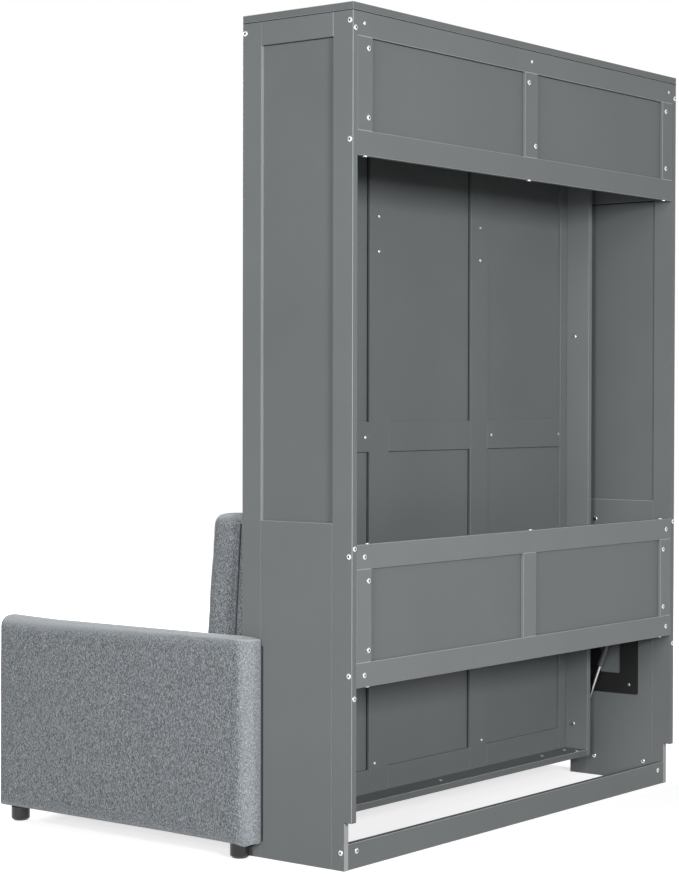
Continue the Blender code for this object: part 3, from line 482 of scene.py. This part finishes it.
# Where they sit on the cabinet: x and z on its back, z on its sides, and y from the wall and z
# on the sides' inner faces. The left and the right have the same, and the middle a few more.
HALF_BOARD = 0.009
SIDE_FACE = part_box("rear_stile_right")[1].x
INNER_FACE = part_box("rear_stile_right")[0].x
FRAME_MIDDLE = Y_WALL - HALF_BOARD
BACK_BOLTS = ((0.771, 2.0215), (0.771, 0.7765), (0.771, 0.4165), (0.719, 1.978), (0.719, 1.812),
              (0.7145, 0.697), (0.7145, 0.529), (0.7310, 0.7555), (0.7310, 0.4698))
SIDE_BOLTS = (2.039, 1.756, 0.758, 0.4715)
INNER_BOLTS = ((0.260, 0.0585), (0.091, 0.0587), (0.259, 0.776))
UNDER_UPPER_FRAME, OVER_MID_FRAME, UNDER_MID_FRAME = 1.720, 0.786, 0.441
bm = bmesh.new()
for side in (-1, 1):
    places = [(side * SIDE_FACE, FRAME_MIDDLE, z) for z in SIDE_BOLTS]
    places += [(side * SIDE_FACE, Y_WALL - 0.0325, 0.044),
               (side * SIDE_FACE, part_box("front_stile_right")[0].y + HALF_BOARD, SIDE_BOLTS[0])]
    set_heads(bm, bolt, places, (side, 0, 0))
    set_heads(bm, bolt, [(side * x, Y_WALL, z) for x, z in BACK_BOLTS], (0, 1, 0))
    set_heads(bm, screw, [(side * 0.7355, Y_WALL, 2.036)], (0, 1, 0))
    set_heads(bm, bolt, [(side * 0.7300, Y_WALL - 0.0235, 0.0425)], (0, 1, 0))
    set_heads(bm, bolt, [(side * INNER_FACE, Y_WALL - y, z) for y, z in INNER_BOLTS],
              (-side, 0, 0))
    set_heads(bm, bolt, [(side * 0.722, FRAME_MIDDLE, UNDER_UPPER_FRAME),
                         (side * 0.709, FRAME_MIDDLE, UNDER_MID_FRAME)], (0, 0, -1))
    set_heads(bm, bolt, [(side * 0.711, FRAME_MIDDLE, OVER_MID_FRAME)], (0, 0, 1))
set_heads(bm, bolt, [(0.0135, Y_WALL, 1.978), (-0.019, Y_WALL, 1.812)], (0, 1, 0))
set_heads(bm, screw, [(0, Y_WALL, 2.035)], (0, 1, 0))
set_heads(bm, bolt, [(0, FRAME_MIDDLE, UNDER_UPPER_FRAME)], (0, 0, -1))
set_heads(bm, bolt, [(-0.012, FRAME_MIDDLE, OVER_MID_FRAME)], (0, 0, 1))
new_piece(bm, "cabinet_bolts", fastener, "cabinet", SMOOTH_BELOW)

# Where they sit on the bed: x and z on its deck, z on its side rails, and x and y from the wall
# on its end boards.
DECK_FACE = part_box("deck_frame")[1].y
RAIL_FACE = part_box("bed_side_rail_right")[0].x
HEAD_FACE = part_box("bed_end_board_head")[1].z
FOOT_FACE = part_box("bed_end_board_foot")[0].z
DECK_SCREWS = ((0.2545, 0.1605), (0.240, 1.6248), (0.240, 1.531), (0.2995, 1.0338),
               (0.6597, 1.032), (0.2545, 1.960))
RAIL_BOLTS = (0.1575, 1.3256, 1.930)
END_BOLTS = ((0.522, 0.2945), (0.655, 0.300), (0.664, 0.262))
bm = bmesh.new()
for side in (-1, 1):
    set_heads(bm, screw, [(side * x, DECK_FACE, z) for x, z in DECK_SCREWS], (0, 1, 0))
    set_heads(bm, bolt, [(side * RAIL_FACE, Y_WALL - 0.300, z) for z in RAIL_BOLTS],
              (-side, 0, 0))
    set_heads(bm, bolt, [(side * x, Y_WALL - y, HEAD_FACE) for x, y in END_BOLTS], (0, 0, 1))
    set_heads(bm, bolt, [(side * x, Y_WALL - y, FOOT_FACE) for x, y in END_BOLTS], (0, 0, -1))
set_heads(bm, bolt, [(0, Y_WALL - 0.2915, HEAD_FACE)], (0, 0, 1))
set_heads(bm, bolt, [(0, Y_WALL - 0.2915, FOOT_FACE)], (0, 0, -1))
new_piece(bm, "bed_screws", fastener, "bed", SMOOTH_BELOW)


# Lift mechanism: black powder-coated steel plates and brackets, matt with a fine grain. The gas
# struts' tubes have a smooth dark enamel, coloured a mid grey as a painted reflection of the line
# of light along them, and hard-chromed rods like mirrors, as the pins are.
def grained(name, colour, roughness, grain_mm):
    """A plain dark surface with a fine grain in its bump and a slightly uneven gloss."""
    made = bpy.data.materials.new(name)
    made.use_nodes = True
    tree = made.node_tree
    shader = tree.nodes["Principled BSDF"]
    shader.inputs["Base Color"].default_value = srgb(colour)
    shader.inputs["IOR"].default_value = 1.5
    grain = add_node(tree, "ShaderNodeTexNoise", {"Scale": 1000 / grain_mm, "Detail": 3.0},
                     {"Vector": add_node(tree, "ShaderNodeTexCoord").outputs["Object"]})
    gloss = add_node(tree, "ShaderNodeMapRange", {"To Min": roughness - 0.06,
                     "To Max": roughness + 0.06}, {"Value": grain.outputs["Fac"]})
    tree.links.new(gloss.outputs["Result"], shader.inputs["Roughness"])
    bump = add_node(tree, "ShaderNodeBump", {"Strength": 0.15, "Distance": 0.0003},
                    {"Height": grain.outputs["Fac"]})
    tree.links.new(bump.outputs["Normal"], shader.inputs["Normal"])
    return made


black_coat = grained("black_powder_coat", "#141414", 0.5, 1.2)
# Painted reflection: the tubes are a mid grey, lighter than their dark enamel.
tube_coat_and_reflection = grained("strut_enamel_with_painted_reflection", "#4c4e50", 0.2, 2.0)
chrome = bright_metal("hard_chromed_rod", "#d9dadb", 1.43, 0.12, 0.22)
finish([f"{part}_{word}" for part in ("lift_plate", "bed_bracket", "leg_bracket", "bed_leg")
        for word in ("left", "right")] + ["leg_bar"], black_coat)
finish(["strut_tube_left", "strut_tube_right"], tube_coat_and_reflection)
finish(["strut_rod_left", "strut_rod_right", "pivot_pin_left", "pivot_pin_right"], chrome)

PLATE_FACE = 0.7587
PLATE_SCREWS = ((0.1386, 0.2835), (0.1386, 0.440), (0.300, 0.400), (0.300, 0.560), (0.190, 0.590))
bm = bmesh.new()
for side in (-1, 1):
    set_heads(bm, screw, [(side * PLATE_FACE, Y_WALL - y, z) for y, z in PLATE_SCREWS],
              (-side, 0, 0))
new_piece(bm, "lift_plate_screws", fastener, "cabinet", SMOOTH_BELOW)


# Feet and runners: turned black plastic feet under the arms, and two black plastic runners under
# the seat bench. Their moulded skin is smooth and shows soft glints.
black_plastic = grained("moulded_black_plastic", "#202021", 0.18, 4.0)
finish([name for name in nodes if name.startswith(("arm_foot", "bench_runner"))], black_plastic)


# Upholstery: heather grey linen-look polyester over foam. Pale and dark yarns cross at right
# angles, so the cloth is flecked both ways, more strongly along the upright yarns. A painted
# highlight makes it paler where it turns an edge or faces up.
CLOTH_PALE, CLOTH_MIDDLE, CLOTH_DARK = "#b2b7bb", "#767b7f", "#3c4045"
CLOTH_HIGHLIGHT = "#b4babf"
FLECK_LONG_MM, FLECK_WIDE_MM = 4.8, 1.8
WEFT_SHARE = 0.5
FLECK_SPREAD = 0.17
END_HIGHLIGHT_SCALE = (1.0, 0.82, 1.0)
# A real thread is about 0.6 mm thick. It is drawn coarser, because it would not show.
THREAD_MM = 1.6


def heather_cloth(name):
    """Two crossed sets of flecks for the yarns, a painted highlight on edges, ends and upward
    faces, and a fine weave in the bump.
    """
    made = bpy.data.materials.new(name)
    made.use_nodes = True
    tree = made.node_tree
    shader = tree.nodes["Principled BSDF"]
    shader.inputs["Roughness"].default_value = 0.95
    shader.inputs["Specular IOR Level"].default_value = 0.15
    shader.inputs["Sheen Weight"].default_value = 0.25
    shader.inputs["Sheen Roughness"].default_value = 0.5
    coordinates = add_node(tree, "ShaderNodeTexCoord").outputs
    long, wide = 1000 / FLECK_LONG_MM, 1000 / FLECK_WIDE_MM
    flecks = []
    for scale in ((wide, wide, long), (long, long, wide)):
        way = add_node(tree, "ShaderNodeMapping", {"Scale": scale},
                       {"Vector": coordinates["Object"]})
        flecks.append(add_node(tree, "ShaderNodeTexNoise", {"Scale": 1.0, "Detail": 3.0,
                      "Roughness": 0.65}, {"Vector": way.outputs["Vector"]}).outputs["Fac"])
    crossed = add_node(tree, "ShaderNodeMath", {"operation": "MULTIPLY_ADD", 1: WEFT_SHARE},
                       {0: flecks[1], 2: flecks[0]}).outputs[0]
    middle = (1 + WEFT_SHARE) / 2
    spread = add_node(tree, "ShaderNodeMapRange", {"From Min": middle - FLECK_SPREAD,
                      "From Max": middle + FLECK_SPREAD}, {"Value": crossed})
    ramp = add_node(tree, "ShaderNodeValToRGB", None, {"Fac": spread.outputs["Result"]})
    ramp.color_ramp.elements[0].color = srgb(CLOTH_DARK)
    ramp.color_ramp.elements[1].color = srgb(CLOTH_PALE)
    ramp.color_ramp.elements.new(0.5).color = srgb(CLOTH_MIDDLE)

    # The largest part of the normal is near 1 on a flat side, and less where the cloth turns an
    # edge, where a painted highlight makes it paler. Faces that tilt up get it too, and the arms'
    # ends, which face along y, get more of it than the other sides.
    facing = add_node(tree, "ShaderNodeVectorMath", {"operation": "ABSOLUTE"},
                      {"Vector": coordinates["Normal"]})
    end_scaled = add_node(tree, "ShaderNodeVectorMath", {"operation": "MULTIPLY", 1: END_HIGHLIGHT_SCALE},
                      {0: facing.outputs[0]})
    parts = add_node(tree, "ShaderNodeSeparateXYZ", None, {"Vector": end_scaled.outputs[0]}).outputs
    flattest = parts["Z"]
    for axis in ("X", "Y"):
        flattest = add_node(tree, "ShaderNodeMath", {"operation": "MAXIMUM"},
                            {0: flattest, 1: parts[axis]}).outputs[0]
    edge_highlight = add_node(tree, "ShaderNodeMapRange", {"From Min": 0.75, "From Max": 0.98,
                       "To Min": 0.26, "To Max": 0.0}, {"Value": flattest})
    rising = add_node(tree, "ShaderNodeMapRange", {"From Min": 0.03, "From Max": 0.65,
                      "To Max": 0.75}, {"Value": parts["Z"]})
    lying = add_node(tree, "ShaderNodeMapRange", {"From Min": 0.85, "From Max": 1.0, "To Min": 1.0,
                     "To Max": 0.3}, {"Value": parts["Z"]})
    top_highlight = add_node(tree, "ShaderNodeMath", {"operation": "MULTIPLY"},
                        {0: rising.outputs["Result"], 1: lying.outputs["Result"]})
    painted_highlight = add_node(tree, "ShaderNodeMath", {"operation": "MAXIMUM"},
                     {0: edge_highlight.outputs["Result"], 1: top_highlight.outputs[0]})
    coloured = add_node(tree, "ShaderNodeMix", {"data_type": "RGBA", 7: srgb(CLOTH_HIGHLIGHT)},
                        {"Factor": painted_highlight.outputs[0], 6: ramp.outputs["Color"]})
    tree.links.new(coloured.outputs[2], shader.inputs["Base Color"])

    weave = add_node(tree, "ShaderNodeTexVoronoi", {"Scale": 1000 / THREAD_MM, "Randomness": 0.6},
                     {"Vector": coordinates["Object"]})
    height = add_node(tree, "ShaderNodeMath", {"operation": "SUBTRACT"},
                      {0: crossed, 1: weave.outputs["Distance"]})
    bump = add_node(tree, "ShaderNodeBump", {"Strength": 0.35, "Distance": 0.0012},
                    {"Height": height.outputs[0]})
    tree.links.new(bump.outputs["Normal"], shader.inputs["Normal"])
    return made


cloth = heather_cloth("heather_grey_polyester")
PRESSURE, CLOTH_STEPS = 4, 20
CORNER = 0.0001
CRISP_REACH, PAST_FOAM = 0.6, 0.003


def bake(piece):
    """Applies a piece's modifiers to its mesh."""
    bpy.context.view_layer.update()
    evaluated = piece.evaluated_get(bpy.context.evaluated_depsgraph_get())
    mesh = bpy.data.meshes.new_from_object(evaluated)
    piece.modifiers.clear()
    piece.data = mesh


def foam_block(node, rounded_upright, radius, top_radius, end_radius):
    """A block of foam of a node's size: one upright arris is rounded, then the top one on that
    side by top_radius, and last the other top ones by end_radius."""
    low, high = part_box(node)
    bm = bmesh.new()
    add_block(bm, low, high)
    corner = [(high if sign > 0 else low)[axis] for axis, sign in enumerate(rounded_upright)]
    upright = [edge for edge in bm.edges if all(
        (vert.co.xy - Vector(corner)).length < CORNER for vert in edge.verts)]
    bmesh.ops.bevel(bm, geom=upright, offset=radius, segments=6, profile=0.5, affect="EDGES",
                    material=-1)
    for offset in (top_radius, end_radius):
        top = [edge for edge in bm.edges if all(
            high.z - vert.co.z < CORNER for vert in edge.verts) and (offset == end_radius or all(
                abs(vert.co.x - corner[0]) < CORNER for vert in edge.verts))]
        bmesh.ops.bevel(bm, geom=top, offset=offset, segments=6, profile=0.5, affect="EDGES",
                        material=-1)
    return bm


def upholstered(node, source, voxel, soften, cap, crisp, body, slope=0.0):
    """Foam in a sewn cover: an even mesh is blown up from inside until it is taut, no point by
    more than cap, and stays flat on its crisp sides, which are (axis, sign). slope is how far
    the whole piece leans back over a metre of its height."""
    if source is None:
        source = bmesh.new()
        source.from_mesh(nodes[node].data)
        bmesh.ops.remove_doubles(source, verts=source.verts[:], dist=0.00001)
    bmesh.ops.recalc_face_normals(source, faces=source.faces[:])
    for vert in source.verts:
        vert.co.y -= slope * vert.co.z
    low = Vector([min(vert.co[axis] for vert in source.verts) for axis in range(3)])
    high = Vector([max(vert.co[axis] for vert in source.verts) for axis in range(3)])
    mesh = bpy.data.meshes.new(f"{node}_cover")
    source.to_mesh(mesh)
    source.free()
    cover = bpy.data.objects.new(f"{node}_cover", mesh)
    bpy.context.scene.collection.objects.link(cover)
    even = cover.modifiers.new("even_mesh", "REMESH")
    even.mode = "VOXEL"
    even.voxel_size = voxel
    bake(cover)
    bm = bmesh.new()
    bm.from_mesh(cover.data)
    free = [vert for vert in bm.verts if not any(
        abs(vert.co[axis] - (high if sign > 0 else low)[axis]) < CRISP_REACH * voxel
        for axis, sign in crisp)]
    for turn in range(soften):
        bmesh.ops.smooth_vert(bm, verts=free, factor=0.5, use_axis_x=True, use_axis_y=True,
                              use_axis_z=True)
    for axis in range(3):
        places = [vert.co[axis] for vert in bm.verts]
        start, reach = min(places), max(places) - min(places)
        for vert in bm.verts:
            vert.co[axis] = low[axis] + (vert.co[axis] - start) * (high[axis] - low[axis]) / reach
    bm.to_mesh(cover.data)
    bm.free()
    flat = [vert.co.copy() for vert in cover.data.vertices]
    if cap:
        skin = cover.modifiers.new("cover", "CLOTH")
        skin.settings.use_pressure = True
        skin.settings.uniform_pressure_force = PRESSURE
        skin.settings.effector_weights.gravity = 0
        skin.settings.quality = 4
        skin.point_cache.frame_start = 1
        skin.point_cache.frame_end = CLOTH_STEPS
        for moment in range(1, CLOTH_STEPS + 1):
            bpy.context.scene.frame_set(moment)
        bake(cover)
        bpy.context.scene.frame_set(1)
    for vert, place in zip(cover.data.vertices, flat):
        moved = vert.co - place
        if moved.length > cap:
            vert.co = place + moved.normalized() * cap
        for axis in range(3):
            vert.co[axis] = max(low[axis] - PAST_FOAM, min(high[axis] + PAST_FOAM,
                                                           vert.co[axis]))
        for axis, sign in crisp:
            edge = high[axis] if sign > 0 else low[axis]
            if (vert.co[axis] - edge) * sign > 0:
                vert.co[axis] = edge
        vert.co.y += slope * vert.co.z
    fine = cover.modifiers.new("fine", "SUBSURF")
    fine.levels = 1
    fine.render_levels = 1
    cover.data.shade_smooth()
    cover.data.materials.clear()
    cover.data.materials.append(cloth)
    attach(cover, body)
    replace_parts(cover, node)
    return cover


# Sofa arms: a board padded all round with foam, bolted to the cabinet's front stile. The cover
# is pulled tight under the board and stapled there, so two small folds of it hang at the rear
# corner. A matt dark strip on the cabinet's side along its rear edge is painted contact shade.
ARM_REAR_RADIUS, ARM_TOP_RADIUS, ARM_END_RADIUS = 0.044, 0.030, 0.008
REAR_REACH = 0.055
NOSE_RISE, REAR_SAG, HEM_SAG = 0.0045, 0.004, 0.003
REAR_PULL, NOSE_PULL = 0.0028, 0.0025
CONTACT_SHADE_THICK, CONTACT_SHADE_FRONT, CONTACT_SHADE_REAR = 0.0015, 0.0040, 0.0014
contact_shade = grained("painted_arm_contact_shade", "#202123", 0.7, 1.5)
contact_shades = bmesh.new()
for word, side in (("left", -1), ("right", 1)):
    arm = f"sofa_arm_{word}"
    low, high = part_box(arm)
    foam = foam_block(arm, (side, 1), ARM_REAR_RADIUS, ARM_TOP_RADIUS, ARM_END_RADIUS)
    cover = upholstered(arm, foam, voxel=0.007, soften=2, cap=0.0018,
                        crisp=[(0, -side), (2, -1)], body="cabinet")
    outer = (high if side > 0 else low).x
    folds = [(Vector((outer - side * 0.006, high.y - 0.018, low.z)), 0.034, 0.0085),
             (Vector((outer - side * 0.045, high.y - 0.003, low.z)), 0.016, 0.0040)]
    for vert in cover.data.vertices:
        for fold, reach, depth in folds:
            vert.co.z -= depth * max(0.0, 1 - (vert.co - fold).length / reach) ** 2
        up = (vert.co.z - low.z) / (high.z - low.z)
        back = (vert.co.y - low.y) / (high.y - low.y)
        rear = max(0.0, 1 - (high.y - vert.co.y) / REAR_REACH)
        near_top, nose = max(0.0, 5 * up - 4), max(0.0, 1 - 5 * back)
        vert.co.z += near_top * (NOSE_RISE * nose - REAR_SAG * rear)
        vert.co.z -= HEM_SAG * max(0.0, 1 - 10 * up) * max(0.0, 3 * back - 2)
        low_end = min(1.0, 4 - 4 * up) * max(0.0, 1 - 10 * back)
        vert.co.y -= REAR_PULL * rear + NOSE_PULL * low_end
    # Painted shade: a matt dark strip on the cabinet's side where the arm's rear edge meets it.
    side_block(contact_shades, side, (SIDE_FACE, SIDE_FACE + CONTACT_SHADE_THICK),
               (high.y - CONTACT_SHADE_FRONT, high.y - CONTACT_SHADE_REAR), (low.z + 0.004, high.z - 0.025))
new_piece(contact_shades, "arm_contact_shade_lines", [contact_shade], "cabinet")


# Back cushions: two foam cushions that lean on a tapered board on the bed's front. Each bellies
# out below, slumps back at its top, and is zipped to the board's cover all round. The zip tape
# beside the board is dark grey, partly its own colour and partly painted shade in the seam.
BOARD_TAPER = 0.030
CUSHION_DEPTH, SLUMP_HEIGHT, CROWN_HEIGHT = 0.1, 0.22, 0.05
BELLY, SLUMP = 0.006, 0.010
CROWN_RISE, CROWN_FALL = 0.004, 0.006
low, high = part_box("backrest_board")
lean = BOARD_TAPER / (high.z - low.z)
upholstered("backrest_board", None, voxel=0.007, soften=1, cap=0.0, crisp=[(1, 1)],
            body="bed")
for word in ("left", "right"):
    cushion = f"back_cushion_{word}"
    low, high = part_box(cushion)
    rear = max(vert.co.y - lean * vert.co.z for vert in nodes[cushion].data.vertices)
    cover = upholstered(cushion, None, voxel=0.008, soften=5, cap=0.010, crisp=[(1, 1)],
                        body="bed", slope=lean)
    for vert in cover.data.vertices:
        forward = (rear + lean * vert.co.z - vert.co.y) / CUSHION_DEPTH
        up = max(0.0, (vert.co.z - high.z + SLUMP_HEIGHT) / SLUMP_HEIGHT)
        crown = max(0.0, (vert.co.z - high.z + CROWN_HEIGHT) / CROWN_HEIGHT)
        vert.co.y -= forward * (BELLY - SLUMP * up)
        vert.co.z += crown * (CROWN_RISE - CROWN_FALL * forward)

ZIP_INSIDE, ZIP_PROUD = 0.004, 0.001
zip_shades = bmesh.new()
for side in (-1, 1):
    side_block(zip_shades, side, (high.x - ZIP_INSIDE, high.x + ZIP_PROUD),
               (rear - ZIP_PROUD, rear + ZIP_PROUD), (low.z + 0.004, high.z - 0.030))
for vert in zip_shades.verts:
    vert.co.y += lean * vert.co.z
# A zip tape, darkened as painted shade in the seam between cushion and board.
zip_tape_and_seam_shade = grained("painted_seam_shade_on_zip", "#434649", 0.7, 1.5)
new_piece(zip_shades, "cushion_zip_seam_shades", [zip_tape_and_seam_shade], "bed")


# Seat bench: a padded base on the runners, and two boxed foam cushions that lie on it. The same
# cloth covers them, and nothing is sewn across it.
for word in ("left", "right"):
    upholstered(f"seat_cushion_{word}", None, voxel=0.009, soften=5, cap=0.014, crisp=[(2, -1)],
                body="sofa_bench")
upholstered("bench_base", None, voxel=0.012, soften=3, cap=0.003, crisp=[(2, 1)],
            body="sofa_bench")
